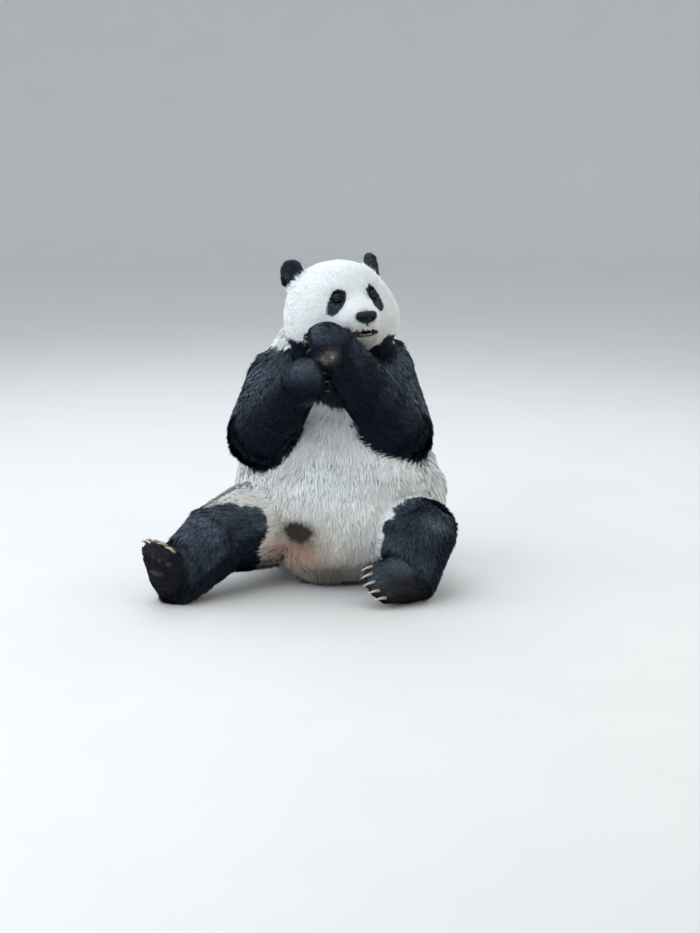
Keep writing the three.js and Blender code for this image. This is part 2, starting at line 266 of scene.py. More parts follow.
class Skin:
    """One closed surface over all the flesh, as arrays of vertices, edges and triangles."""

    def __init__(self):
        verts, faces, self.owners = [], [], []
        for name in FLESH:
            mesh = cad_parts[name].data
            faces += [[len(verts) + i for i in p.vertices] for p in mesh.polygons]
            verts += [v.co.copy() for v in mesh.vertices]
            self.owners += [name] * len(mesh.polygons)
        self.solids = BVHTree.FromPolygons(verts, faces)
        flesh = put("flesh", mesh_of("flesh", verts, faces))
        remesh = flesh.modifiers.new("remesh", "REMESH")
        remesh.mode = "VOXEL"
        remesh.voxel_size = VOXEL
        depsgraph = bpy.context.evaluated_depsgraph_get()
        self.mesh = bpy.data.meshes.new_from_object(flesh.evaluated_get(depsgraph))
        bpy.data.objects.remove(flesh)
        self.read()

    def read(self):
        """Takes vertices, edges and triangles from the mesh."""
        mesh = self.mesh
        mesh.calc_loop_triangles()
        self.verts = rows(mesh.vertices, "co", 3)
        self.edges = rows(mesh.edges, "vertices", 2, np.int64)
        self.triangles = rows(mesh.loop_triangles, "vertices", 3, np.int64)
        self.loops = rows(mesh.loop_triangles, "loops", 3, np.int64)
        self.degree = np.bincount(self.edges.ravel(), minlength=len(self.verts))

    def write(self):
        """Puts the vertices back into the mesh."""
        self.mesh.vertices.foreach_set("co", self.verts.ravel())
        self.mesh.update()

    def edit(self, change):
        """Changes the mesh by a function of its bmesh."""
        grid = bmesh.new()
        grid.from_mesh(self.mesh)
        change(grid)
        grid.to_mesh(self.mesh)
        grid.free()
        self.read()

    def refine(self, spots):
        """Halves the quads round some spots, each a centre and a reach."""
        near = [np.linalg.norm(self.verts - centre, axis=1) < reach for centre, reach in spots]
        chosen = np.flatnonzero(np.any(near, axis=0)[self.edges].all(1))

        def halve(grid):
            grid.edges.ensure_lookup_table()
            edges = [grid.edges[i] for i in chosen]
            bmesh.ops.subdivide_edges(grid, edges=edges, cuts=1, use_grid_fill=True)

        self.edit(halve)

    def join(self, points, faces):
        """Adds a separate shell to the surface."""

        def add(grid):
            made = [grid.verts.new(point) for point in points]
            for face in faces:
                grid.faces.new([made[i] for i in face])

        self.write()
        self.edit(add)

    def spread(self, values, rounds, share=0.5):
        """Values after each vertex has moved towards its neighbours' mean by a share, again and again."""
        values = values.reshape(len(self.verts), -1).astype(float)
        share = np.reshape(share, (-1, 1))
        a, b = self.edges.T
        for _ in range(rounds):
            mean = np.empty_like(values)
            for k in range(values.shape[1]):
                total = np.bincount(a, values[b, k], len(values)) + np.bincount(b, values[a, k], len(values))
                mean[:, k] = total / self.degree
            values = values + (mean - values) * share
        return values.squeeze()

    def round_off(self, rounds, share):
        """Smooths the surface, then brings it broadly back out to the solids, so that it doesn't shrink."""
        self.verts = self.spread(self.verts, rounds, share)
        out, reach = self.normals(), 0.02
        short = np.zeros(len(self.verts))
        for i, (start, way) in enumerate(zip(self.verts + out * reach, -out)):
            hit = self.solids.ray_cast(Vector(start), Vector(way), 2.0 * reach)[3]
            if hit is not None:
                short[i] = reach - hit
        self.verts = self.verts + out * self.spread(np.clip(short, -0.001, reach), 24)[:, None]

    def normals(self):
        """A unit normal for each vertex."""
        p, q, r = (self.verts[self.triangles[:, k]] for k in range(3))
        flat = np.cross(q - p, r - p)
        out = np.zeros_like(self.verts)
        for k in range(3):
            for axis in range(3):
                out[:, axis] += np.bincount(self.triangles[:, k], flat[:, axis], len(out))
        return unit(out)

    def nearest(self):
        """For each vertex, the flesh node whose solid is nearest."""
        return np.array([self.owners[self.solids.find_nearest(Vector(v))[2]] for v in self.verts])


skin = Skin()
round_mouth = (HEAD.outside([0.0, -0.185, -0.05]), 0.065)
skin.refine([(place.origin, 0.036) for place in EYES.values()] + [round_mouth])
node_of = skin.nearest()
kind_of = np.array([name[:-2] if name[-2:] in ("_R", "_L") else name for name in node_of])


def of_kind(*kinds):
    """For each vertex, whether its node is of one of these kinds."""
    return np.isin(kind_of, kinds)


def per_kind(column):
    """A column of COATS for each vertex, blended across the borders."""
    values = np.zeros(len(skin.verts))
    for kind, row in COATS.items():
        values[kind_of == kind] = row[column]
    return skin.spread(values, 24)


def in_mouth():
    """For each vertex, 1 in the mouth and 0 outside its lips."""
    inside = np.exp(-(((in_head - MOUTH_AT) / (MOUTH_SIZE * 1.15)) ** 8).sum(-1))
    return np.where(on_head, inside, 0.0)


def from_eye(place):
    """How far each vertex in front of an eye is from the line of its gaze."""
    local = place.inside(skin.verts)
    return np.where(on_head & (local[:, 2] > -0.014), np.hypot(local[:, 0], local[:, 1]), 1.0)


in_head = HEAD.inside(skin.verts)
on_head = of_kind("head", "jaw")
softness = per_kind(3) * (1.0 - 0.85 * in_mouth())
for foot, place in FEET.items():
    heel = 1.0 - ramp(-0.03, 0.02, place.inside(skin.verts)[:, 1])
    softness = np.where(node_of == foot, np.maximum(softness, heel), softness)
skin.round_off(44, 0.5 * skin.spread(softness, 6))


def between_parts(one, other):
    """For each vertex, up to 1 near the border between two lots of nodes."""
    share, far = (skin.spread(of_kind(*kinds), 60) for kinds in (one, other))
    return np.clip(4.0 * share * far, 0.0, 1.0)


# Loose coat bridges the nape and the folds between body and limbs.
nape = between_parts(["head"], ["neck", "trunk"])
skin.verts = skin.spread(skin.verts + skin.normals() * (0.014 * nape)[:, None], 150, 0.5 * nape)
skin.verts = skin.spread(skin.verts, 30, 0.5 * between_parts(["neck", "trunk"], ["upper_arm", "thigh"]))


def coat_sizes():
    """Depth, length and width of the coat at each vertex, with face and groin shorter."""
    depth, length, width = (per_kind(column) for column in range(3))
    from_nose = np.linalg.norm(in_head - NOSE_AT, axis=1)
    near, nearest, far = (ramp(*reach, from_nose) for reach in ((0.1, 0.24), (0.055, 0.12), (0.16, 0.28)))
    shares = (1.0 - near, 1.0 - nearest, far)
    face, muzzle, cheek = (skin.spread(np.where(on_head, share, 0.0), 6) for share in shares)
    depth = (depth * (1.0 - 0.35 * face) * (1.0 - 0.45 * muzzle) + 0.005 * cheek) * (1.0 - 0.8 * in_mouth())
    length = length * (1.0 - 0.4 * face) * (1.0 - 0.45 * muzzle) + 0.006 * cheek
    width = width * (1.0 - 0.25 * face) * (1.0 - 0.25 * muzzle)
    for place in EYES.values():
        length = length * (0.5 + 0.5 * ramp(0.018, 0.05, from_eye(place)))
    groin = np.minimum(1.0, 1.4 * blob(skin.verts, (-0.006, -0.12, 0.165), (0.08, 0.1, 0.062)))
    short = 1.0 - 0.62 * groin
    return depth * short, length * short, width * short**0.5


# Forms of the face, in millimetres in the head's frame: height, middle and radii. All but the middle ones are
# paired.
FACE_FORMS = {
    "stop": (-4.0, (0, -120, 42), (20, 34, 20)),
    "whisker pad": (3.0, (22, -188, -50), (18, 24, 13)),
    "brow": (2.5, (46, -112, 58), (26, 26, 12)),
    "hollow under the eye": (-6.0, (50, -140, -12), (11, 28, 24)),
    "fold behind the mouth": (-3.0, (56, -128, -74), (12, 34, 5)),
    "chin": (2.5, (0, -176, -94), (26, 24, 12)),
    "bridge of the nose": (5.0, (0, -190, -34), (34, 30, 26)),
}
# Forms of the body, in metres: height, middle as seen from the spine, and radii.
BODY_FORMS = {
    "right shoulder blade": (0.009, (-0.1, 0.27, 0.58), (0.06, 0.08, 0.08)),
    "left shoulder blade": (0.009, (0.1, 0.27, 0.58), (0.06, 0.08, 0.08)),
    "fold of the nape": (-0.009, (0.0, 0.25, 0.695), (0.14, 0.12, 0.016)),
    "loose coat beside the neck": (0.007, (-0.145, 0.1, 0.708), (0.05, 0.08, 0.03)),
    "fold of the belly": (-0.005, (-0.01, -0.13, 0.4), (0.13, 0.12, 0.022)),
}


def relief(points, forms):
    """How far some forms stand out at each point."""
    return sum(height * blob(points, centre, radii) for height, centre, radii in forms.values())


def face_forms():
    """How far lips, brows and cheeks stand out beyond the plain masses of the head."""
    p = in_head / MM
    paired = {name: form for name, form in FACE_FORMS.items() if form[1][0]}
    out = relief(p, FACE_FORMS) + relief(p * [-1.0, 1.0, 1.0], paired)
    groove = np.exp(-((p[:, 0] / 2.4) ** 2)) * ramp(-66, -58, p[:, 2]) * ramp(-36, -44, p[:, 2])
    out -= 2.6 * groove * (p[:, 1] < -150)
    return np.where(on_head, out, 0.0) * MM


def body_forms():
    """How far shoulder blades, folds and loose coat stand out from the body."""
    at = skin.verts
    local = at - [middle("trunk")[0], 0.0, 0.0]
    behind = ramp(0.12, 0.24, at[:, 1])
    out = -0.007 * np.exp(-((local[:, 0] / 0.03) ** 2)) * behind * ramp(0.18, 0.3, at[:, 2])
    out += relief(local, BODY_FORMS) + 0.0045 * mottle(at, 0.11, 5) + 0.0015 * mottle(at, 0.04, 6)
    return np.where(of_kind("trunk", "neck"), out, 0.0)


def ear_forms():
    """How far the fronts of the ears are sunk, and their rims filled."""
    out = np.zeros(len(skin.verts))
    for side, sign in SIDES.items():
        centre, axes = axes_of("ear_" + side)
        front = towards(axes[2], HEAD.way([0.0, -1.0, 0.0]))
        local = skin.verts - centre
        ahead = local @ front
        far = np.linalg.norm(local - ahead[:, None] * front, axis=1)
        rim = 0.006 * blob(in_head, (sign * 0.147, 0.044, 0.112), (0.03, 0.04, 0.028))
        hollow = 0.009 * np.exp(-((far / 0.024) ** 4)) * ramp(0.0, 0.006, ahead)
        out += np.where(node_of == "ear_" + side, rim - hollow, 0.0)
    return out


in_head = HEAD.inside(skin.verts)
depth = coat_sizes()[0]
lift = face_forms() + skin.spread(body_forms() + ear_forms(), 2) - depth
skin.verts = skin.verts + skin.normals() * lift[:, None]
skin.verts = skin.spread(skin.verts, 5, 0.4 * softness)

# ---------- lids

LID_RINGS, LID_SPOKES = 10, 48


def lid_shell(place):
    """Both lids of an eye in one band, from its rim on the eyeball to its edge sunk in the skin."""
    points = []
    for j in range(LID_RINGS):
        s = max(j - 1, 0) / (LID_RINGS - 2)
        for c, d in circle(LID_SPOKES):
            high = LID_UPPER if d > 0.0 else LID_LOWER
            rim = np.array([LID_HALF * c, high * d * (1.0 - 0.3 * c * c)])
            x, y = rim + (np.array([0.025 * c, 0.022 * d]) - rim) * s
            r = math.hypot(x, y)
            shell = EYE_RADIUS + (-0.0004 if j == 0 else 0.0016)
            dome = math.sqrt(max(shell**2 - r**2, 0.005**2))
            start = place.outside([x, y, 0.05])
            hit = surface.ray_cast(Vector(start), Vector(-place.turn[2]))[0]
            ground = place.inside(np.array(hit))[2]
            z = dome + (ground - dome) * float(ramp(0.0085, 0.016, r)) - 0.0012 * s**4
            points.append(place.outside([x, y, z]))
    return points


# ---------- lips


def lip_line(turn):
    """The height of the line between the lips, at a turn round the muzzle from straight ahead."""
    return -0.068 - 0.006 * np.abs(turn / LIP_ENDS) ** 1.5


def lip_gap(turn):
    """Half of the gap between the lips."""
    return 0.007 * np.maximum(0.0, 1.0 - (turn / LIP_OPEN) ** 2)


def bite_place(turn, far, height):
    """A point of the mouth, from its turn, its distance from the upright line and its height."""
    return HEAD.outside([far * math.sin(turn), BITE_AXIS - far * math.cos(turn), height])


def muzzle_at(turn, height):
    """How far the muzzle's surface is from the upright line, across the mouth's own opening."""

    def reach(level):
        start, end = bite_place(turn, 0.16, level), bite_place(turn, 0.0, level)
        for tree, sunk in ((surface, 0.0), (skull, 0.004)):
            hit = tree.ray_cast(Vector(start), Vector(unit(end - start)))[0]
            if hit is not None:
                return 0.16 - sunk - float(np.linalg.norm(np.array(hit) - start))

    middle_line, edge = lip_line(turn), 0.017
    if abs(height - middle_line) > edge:
        return reach(height)
    low, high = reach(middle_line - edge), reach(middle_line + edge)
    return low + (high - low) * (height - middle_line + edge) / (2.0 * edge)


LIP_SPOKES = 96
# Each ring of the lips: how far it is outside the rim of the gap, and how far out of the muzzle's surface.
LIP_RINGS = [
    (7.0, -40.0), (6.0, -20.0), (3.0, -9.0), (0.4, -3.5), (0.0, -1.2),
    (0.9, 0.6), (2.4, 1.5), (4.4, 1.3), (7.0, 0.6), (11.0, -2.0),
]


def lip_shell():
    """Both lips in one band: the walls of the mouth, its dark lips, and an edge sunk in the skin."""
    points = []
    for aside, out in LIP_RINGS:
        ring = []
        for c, s in circle(LIP_SPOKES):
            turn = LIP_ENDS * c
            way = unit(np.array([c / 0.06, s / 0.0085]))
            height = lip_line(turn) + math.copysign(lip_gap(turn), s) + way[1] * aside * MM
            turn = turn + way[0] * aside * MM / 0.06
            ring.append((turn, muzzle_at(turn, height), height))
        far = np.array([place[1] for place in ring])
        for _ in range(4):
            far = far * 0.5 + (np.roll(far, 1) + np.roll(far, -1)) * 0.25
        points += [bite_place(place[0], r + out * MM, place[2]) for place, r in zip(ring, far)]
    return points


def make_room_for_lips():
    """Parts the walls of the skin's own mouth. Returns how covered and how wet each vertex is."""
    p = HEAD.inside(skin.verts)
    turn = np.arctan2(p[:, 0], BITE_AXIS - p[:, 1])
    far = np.hypot(p[:, 0], BITE_AXIS - p[:, 1])
    line, gap = lip_line(turn), lip_gap(turn)
    slit = on_head & ((((p - MOUTH_AT) / (MOUTH_SIZE * [1.15, 1.15, 1.8])) ** 2).sum(-1) < 1.0)
    way = np.where(slit, np.where(kind_of == "jaw", -1.0, 1.0), np.sign(p[:, 2] - line))
    above = (p[:, 2] - line) * way - gap
    here = on_head * (far > 0.008) * (1.0 - ramp(1.1, 1.25, np.abs(turn)))
    p[:, 2] += way * np.maximum(0.0, 0.007 - above) * here * slit
    sunk = 0.0065 * (1.0 - ramp(0.006, 0.0098, above)) * here
    p[:, 0] -= sunk * np.sin(turn)
    p[:, 1] += sunk * np.cos(turn)
    skin.verts = HEAD.outside(p)
    covered = (1.0 - ramp(0.0045, 0.007, above)) * here
    return covered, covered * slit


head_triangles = skin.triangles[on_head[skin.triangles].all(1)]
surface = BVHTree.FromPolygons(skin.verts.tolist(), head_triangles.tolist())
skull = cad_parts["head"].data
skull = BVHTree.FromPolygons([v.co for v in skull.vertices], [list(p.vertices) for p in skull.polygons])
lids = [lid_shell(place) for place in EYES.values()]
lips = lip_shell()
# The teeth of one side, from the middle: the turn, half the width, the height over the lip, and how pointed.
TEETH = [
    (3.6, 2.9, 2.5, 0.0), (10.8, 2.9, 2.6, 0.0), (18.0, 3.0, 3.0, 0.1),
    (27.0, 4.0, 8.0, 0.7), (37.0, 4.2, 2.5, 0.2), (47.0, 4.8, 2.0, 0.1),
]
dental_arc = [(sign * math.radians(turn), *rest) for sign in SIDES.values() for turn, *rest in TEETH]
dental_arc = [(turn, muzzle_at(turn, lip_line(turn)) - 0.0115, *rest) for turn, *rest in dental_arc]
for place in EYES.values():
    r = from_eye(place)
    sunk = 0.01 * (1.0 - ramp(0.009, 0.016, r)) + 0.0016 * (1.0 - ramp(0.018, 0.026, r))
    skin.verts = skin.verts - place.turn[2] * sunk[:, None]
bare = np.max([1.0 - ramp(0.015, 0.02, from_eye(place)) for place in EYES.values()], axis=0)
covered, wet = make_room_for_lips()
bare = np.maximum(bare, covered)

# Each shell: its kind, points, rings, spokes, and how bare and how wet it is at each point.
lid_ring = np.repeat(np.arange(LID_RINGS) / (LID_RINGS - 1.0), LID_SPOKES)
lip_ring = np.repeat(np.arange(len(LIP_RINGS)), LIP_SPOKES)
bare_lid, bare_lip = 1.0 - ramp(0.1, 0.3, lid_ring), 1.0 - 0.7 * ramp(6.5, 8.0, lip_ring)
shells = [("lid", points, LID_RINGS, LID_SPOKES, bare_lid, 0.0 * lid_ring) for points in lids]
shells.append(("lip", lips, len(LIP_RINGS), LIP_SPOKES, bare_lip, 1.0 - ramp(2.5, 4.0, lip_ring)))
for kind, points, rings, spokes, shown, moist in shells:
    skin.join(points, grid_faces(rings, spokes))
    node_of, kind_of = (np.append(names, [kind] * len(points)) for names in (node_of, kind_of))
    bare, wet = np.append(bare, shown), np.append(wet, moist)

in_head = HEAD.inside(skin.verts)
on_head = of_kind("head", "jaw")
depth, length, width = coat_sizes()
skin.verts[:, 2] = np.maximum(skin.verts[:, 2], 0.0003)
normals = skin.normals()

# ---------- lie of the coat


def laid(ways, out):
    """Unit ways, laid flat on the surface with these normals."""
    return unit(ways - out * (ways * out).sum(1, keepdims=True))


def lie_of_coat():
    """For each vertex, the unit way along the skin in which its hair lies."""
    flow = np.tile([0.0, 0.0, -1.0], (len(skin.verts), 1))
    on = of_kind("head", "jaw", "lip")
    flow[on] = unit(skin.verts - middle("nose"))[on] + [0.0, 0.0, -0.25]
    on = kind_of == "ear"
    flow[on] = unit(skin.verts[on] - middle("head")) + [0.0, 0.0, 0.3]
    flow[kind_of == "neck"] = unit(middle("trunk") - middle("head")) + [0.0, 0.1, -0.2]
    flow[kind_of == "tail"] = unit(middle("tail") - middle("trunk")) * 0.4 + [0.0, 0.0, -1.0]
    for side in SIDES:
        for near, far in (("upper_arm", "forearm"), ("forearm", "paw"), ("thigh", "shin"), ("shin", "foot")):
            near, far = f"{near}_{side}", f"{far}_{side}"
            way = towards(axes_of(near)[1][0], middle(far) - middle(near))
            flow[node_of == near] = way + [0.0, 0.0, -0.35]
    for foot, place in FEET.items():
        flow[node_of == foot] = place.way([0.0, 1.0, -0.1])
    for place in EYES.values():
        local = place.inside(skin.verts)
        away = unit((local * [1.0, 1.0, 0.0]) @ place.turn)
        near = np.where(kind_of == "lid", 1.0, 1.0 - ramp(0.016, 0.045, from_eye(place)))
        near = np.where(np.linalg.norm(local, axis=1) < 0.05, near, 0.0)
        flow = unit(flow) + 2.0 * near[:, None] * away
    flow = skin.spread(unit(flow), 30, np.where(of_kind("lid", "lip"), 0.0, 0.5))
    sway = np.stack([mottle(skin.verts, 0.09, seed) for seed in (11, 12, 13)], axis=1)
    flow = laid(flow + 0.22 * sway, normals)
    hanging = of_kind("trunk", "neck", "thigh", "tail")
    flow[:, 2] -= np.where(hanging, 1.3 * np.maximum(flow[:, 2], 0.0), 0.0)
    return laid(flow, normals)


# ---------- markings

WHITE = np.array([0.775, 0.81, 0.815])
CREAM = np.array([0.66, 0.58, 0.46])
ASH = np.array([0.46, 0.47, 0.47])
BLACK = np.array([0.001, 0.0052, 0.0145])
DUST_AND_SKY_SHEEN = np.array([0.06, 0.082, 0.108])  # black hair lighter and bluer where it faces up: painted sky light and sheen, with some dust
UMBER = np.array([0.04, 0.03, 0.024])
ROSE = np.array([0.48, 0.31, 0.245])
SOIL_AND_SHADE = np.array([0.2, 0.155, 0.12])
PALM = np.array([0.25, 0.225, 0.21])
LIP = np.array([0.018, 0.014, 0.014])
PAD = np.array([0.02, 0.018, 0.018])
GULLET_IN_SHADE = np.array([0.03, 0.01, 0.01])
GUM = np.array([0.17, 0.085, 0.08])


def yoke():
    """The black band over chest, shoulders and back, in metres inside its edges."""
    at = skin.verts
    arms = (middle("upper_arm_R") + middle("upper_arm_L")) / 2.0
    across = np.abs(at[:, 0] - arms[0])
    behind = ramp(-0.05, 0.14, at[:, 1] - arms[1])
    low = 0.532 + 0.018 * behind - 0.06 * ramp(0.12, 0.24, across) * (1.0 - 0.5 * behind)
    high = 0.722 - 0.052 * behind - 0.058 * ramp(0.04, 0.14, across) * (1.0 - behind)
    high += 0.035 * ramp(0.06, 0.12, at[:, 0] - arms[0]) * (1.0 - behind)
    inside = np.minimum(at[:, 2] - low, high - at[:, 2])
    return np.where(of_kind("trunk", "neck"), inside, -1.0)


def stockings():
    """The black of the thighs, in metres inside its edges."""
    at = skin.verts
    right = np.minimum(0.209 - 0.208 * at[:, 1] - 0.978 * at[:, 2], -0.165 - 0.5 * at[:, 1] - at[:, 0])
    left = 0.135 - np.linalg.norm(at - middle("shin_L") - [0.02, 0.05, 0.03], axis=1)
    return np.where(node_of == "thigh_R", right, np.where(node_of == "thigh_L", left, -1.0))


def throat():
    """The black under the back of the jaws, in metres inside its edges."""
    low = -0.076 - 0.009 * ramp(-0.02, 0.02, in_head[:, 0])
    return np.where(on_head, np.minimum(low - in_head[:, 2], in_head[:, 1] + 0.085), -1.0)


def eye_patches():
    """Ovals round the eyes that lean outwards and down, in metres inside their edges."""
    patches = np.full(len(skin.verts), -1.0)
    lean = math.radians(26.0)
    for sign in SIDES.values():
        local = in_head * [sign, 1.0, 1.0] - EYE_AT - np.array([4.0, 0.0, -11.0]) * MM
        across = local[:, 0] * math.cos(lean) + local[:, 2] * math.sin(lean)
        along = -local[:, 0] * math.sin(lean) + local[:, 2] * math.cos(lean)
        reach = np.stack([across, along, local[:, 1]]) / np.array([[0.0166], [0.0365], [0.08]])
        oval = (np.abs(reach) ** 2.5).sum(0) ** 0.4
        patches = np.maximum(patches, (1.0 - oval) * 0.025)
    return np.where(on_head, patches, -1.0)


def blackness():
    """For each vertex, from 0 on the white coat to 1 on the black."""
    thigh = np.where(node_of == "thigh_R", 0.024, 0.012)
    # Each marking: how soft its edge is, and how far, how finely and by which seed it strays.
    edges = [
        (yoke(), 0.018, 0.01, 0.05, 21),
        (stockings(), thigh, 0.01, 0.04, 22),
        (throat(), 0.01, 0.006, 0.03, 24),
        (eye_patches(), 0.0035, 0.0015, 0.012, 23),
    ]
    drawn = np.zeros(len(skin.verts))
    for inside, soft, stray, size, seed in edges:
        inside = inside + stray * mottle(skin.verts, size, seed)
        drawn = np.maximum(drawn, ramp(-soft, soft, inside))
    drawn[of_kind("ear", "upper_arm", "forearm", "paw", "shin", "foot", "lid")] = 1.0
    soft = skin.spread(drawn, 5, np.where(kind_of == "lid", 0.0, 0.5))
    return ramp(0.25, 0.75, soft)


def pads():
    """For each vertex, 1 on the bare pads of the soles."""
    bare = np.zeros(len(skin.verts))
    for name, place in FEET.items():
        on, local = node_of == name, place.inside(skin.verts)
        low, high = local[on].min(0), local[on].max(0)
        local = (2.0 * local - low - high) / (high - low)
        spots = blob(local[:, :2], (0.0, 0.12), (0.62, 0.17))
        for i in range(-2, 3):
            spots = np.maximum(spots, blob(local[:, :2], (0.36 * i, 0.66 - 0.06 * i * i), (0.15, 0.14)))
        bare = np.maximum(bare, np.where(on & (local[:, 2] < -0.1), ramp(0.35, 0.6, spots), 0.0))
    return skin.spread(bare, 1)


def wrist_pads():
    """For each vertex, up to 1 on the broad pad at the outer edge of each wrist."""
    cover = np.zeros(len(skin.verts))
    for side, outer in SIDES.items():
        local = FEET["paw_" + side].inside(skin.verts) * [-outer, 1.0, 1.0]
        spot = np.minimum(1.0, 1.5 * blob(local, (0.05, -0.014, -0.012), (0.03, 0.019, 0.021)))
        spot *= 1.0 - 0.8 * np.exp(-(((local[:, 2] + 0.01) / 0.0035) ** 2))
        cover = np.maximum(cover, np.where(np.isin(node_of, ["paw_" + side, "forearm_" + side]), spot, 0.0))
    return cover


flow = lie_of_coat()
black = blackness()
bare_pads = pads()
wrist_pad = wrist_pads()


def mix(colours, other, share, most=1.0):
    """Colours moved towards another by a share, which is kept from 0 to most."""
    return colours + (other - colours) * np.clip(share, 0.0, most)[:, None]


def coat_colours():
    """The colours that white and black hair have at each vertex, with their soiling, painted shade low down,
    under the belly and on the chin, and painted sky light on the black where it faces up.
    """
    at, height = skin.verts, skin.verts[:, 2]
    low = 1.0 - ramp(0.05, 0.42, height)
    dirt = 0.35 * low + 0.16 * mottle(at, 0.13, 31) * low + 0.05 * mottle(at, 0.03, 32)
    white = mix(np.tile(WHITE, (len(at), 1)), CREAM, dirt, 0.8)
    belly = blob(at, (0.08, -0.2, 0.28), (0.24, 0.24, 0.16))
    white = mix(white, ASH, belly * (0.12 + 0.12 * mottle(at, 0.06, 33)))
    white = mix(white, CREAM * 0.75, 0.6 * blob(at, (0.0, -0.12, 0.17), (0.13, 0.14, 0.075)))
    # Near the floor the white goes brown all round: soiling, and painted shade where the body sits on the
    # floor.
    soil_and_low_shade = (1.0 - ramp(0.03, 0.16, height)) * (0.55 + 0.15 * mottle(at, 0.05, 38))
    white = mix(white, SOIL_AND_SHADE, soil_and_low_shade, 0.8)
    # Low on the front of the belly the white goes dark umber: painted shade under the belly and lap, with
    # some dirt.
    under = (1.0 - ramp(0.06, 0.15, height)) * blob(at, (0.08, -0.2, 0.05), (0.15, 0.15, 0.12))
    white = mix(white, UMBER * 1.8, 1.2 * under, 0.92)
    groin = blob(at, (-0.01, -0.115, 0.122), (0.075, 0.12, 0.036)) * (1.0 + 0.25 * mottle(at, 0.03, 35))
    white = mix(white, ROSE, 1.3 * groin, 0.95)
    # A dark brown spot low on the belly.
    belly_dark_spot = blob(at, (0.0, -0.125, 0.186), (0.04, 0.07, 0.036)) * (1.0 + 0.25 * mottle(at, 0.02, 37))
    white = mix(white, UMBER * 0.6, 1.9 * belly_dark_spot, 0.97)
    below_nose = np.where(on_head, blob(in_head, (0.0, -0.19, -0.054), (0.014, 0.03, 0.014)), 0.0)
    white = white * (1.0 - 0.45 * below_nose)[:, None]
    # The chin goes dark cream: a cream tint, and painted shade under the muzzle.
    chin = of_kind("head", "jaw", "lip") * blob(in_head, (0.0, -0.15, -0.095), (0.07, 0.06, 0.035))
    white = mix(white, CREAM * 0.36, 0.92 * chin)
    # Black hair that faces up is painted lighter: painted sky light and sheen on its tops, with some dust.
    sheen_and_dust = 0.9 * ramp(-0.2, 0.8, normals[:, 2]) * (0.8 + 0.3 * mottle(at, 0.05, 36))
    brown = np.where(kind_of == "foot", 0.26, 0.06) * (1.0 + 0.6 * mottle(at, 0.04, 34))
    dark = mix(mix(mix(BLACK, DUST_AND_SKY_SHEEN, sheen_and_dust), UMBER, brown), PALM, wrist_pad)
    return white, dark


pale, dusky = coat_colours()
below = in_head[:, 2] + 0.053
philtrum = np.exp(-((in_head[:, 0] / 0.0042) ** 4)) * (1.0 - ramp(0.014, 0.018, np.abs(below)))
philtrum *= on_head & (in_head[:, 1] < -0.15)
# Deep in the mouth the walls are painted nearly black red: painted shade in the mouth, with pink gums at the
# front.
gums = mix(GULLET_IN_SHADE, GUM, blob(in_head, (0.0, -0.175, -0.082), (0.035, 0.016, 0.01)))
skin_colour = mix(mix(pale, dusky, black) * 0.9, PAD, bare_pads)
skin_colour = mix(skin_colour, LIP, np.where(kind_of == "lip", bare, 0.0))
skin_colour[kind_of == "lid"] = BLACK * 0.7
skin_colour = mix(mix(skin_colour, gums, wet), LIP, philtrum)
haired = (1.0 - bare_pads) * (1.0 - 0.8 * wrist_pad) * (1.0 - bare) * (1.0 - wet) * (1.0 - philtrum)

# ---------- materials


def material(name, scale, tint, entries, stops=(), tones=None, bump=None, pebbles=None, detail=4.0):
    """A material with a grain of noise in the object's own space, and its shader's entries.

    The tint is a colour, or the name of what the vertices store. Stops turn that, or else the grain, into
    colours. The tones are how dark and how bright the grain makes it, and an entry that is a pair follows the
    grain from one value to the other. A bump is its strength and height, over the grain or over pebbles.
    """
    made = bpy.data.materials.new(name)
    made.use_nodes = True
    nodes, links = made.node_tree.nodes, made.node_tree.links

    def fill(node, entries):
        """Links a node's entries to outputs, or gives them values."""
        for entry, value in entries.items():
            if isinstance(value, bpy.types.NodeSocket):
                links.new(value, node.inputs[entry])
            else:
                node.inputs[entry].default_value = value
        return node.outputs

    def add(kind, output, entries):
        return fill(nodes.new("ShaderNode" + kind), entries)[output]

    def texture(kind, output, entries):
        return add("Tex" + kind, output, {"Vector": add("TexCoord", "Object", {}), **entries})

    def span(low, high):
        return add("MapRange", "Result", {"To Min": low, "To Max": high, "Value": noise})

    noise = texture("Noise", "Fac", {"Scale": scale, "Detail": detail})
    if isinstance(tint, str):
        stored = nodes.new("ShaderNodeAttribute")
        stored.attribute_name = tint
        tint = stored.outputs["Fac" if stops else "Color"]
    if stops:
        colours = nodes.new("ShaderNodeValToRGB")
        elements = colours.color_ramp.elements
        for element, (position, colour) in zip(elements, (stops[0], stops[-1])):
            element.position, element.color = position, (*colour, 1.0)
        for position, colour in stops[1:-1]:
            elements.new(position).color = (*colour, 1.0)
        tint = fill(colours, {"Fac": tint or noise})["Color"]
    if tones:
        scaled = nodes.new("ShaderNodeVectorMath")
        scaled.operation = "SCALE"
        tint = fill(scaled, {0: tint, "Scale": span(*tones)})["Vector"]
    entries = {entry: span(*value) if isinstance(value, tuple) else value for entry, value in entries.items()}
    if bump:
        height = texture("Voronoi", "Distance", {"Scale": pebbles}) if pebbles else noise
        strength, distance = bump
        bumps = {"Height": height, "Strength": strength, "Distance": distance}
        entries["Normal"] = add("Bump", "Normal", bumps)
    fill(nodes["Principled BSDF"], {"Base Color": tint, **entries})
    return made


def coat_material():
    """Hair in its own colour, with strands of uneven tone."""
    shine = {"Roughness": (0.46, 0.62), "Specular IOR Level": 0.12}
    return material("coat", 260.0, "tint", shine, tones=(0.86, 1.12))


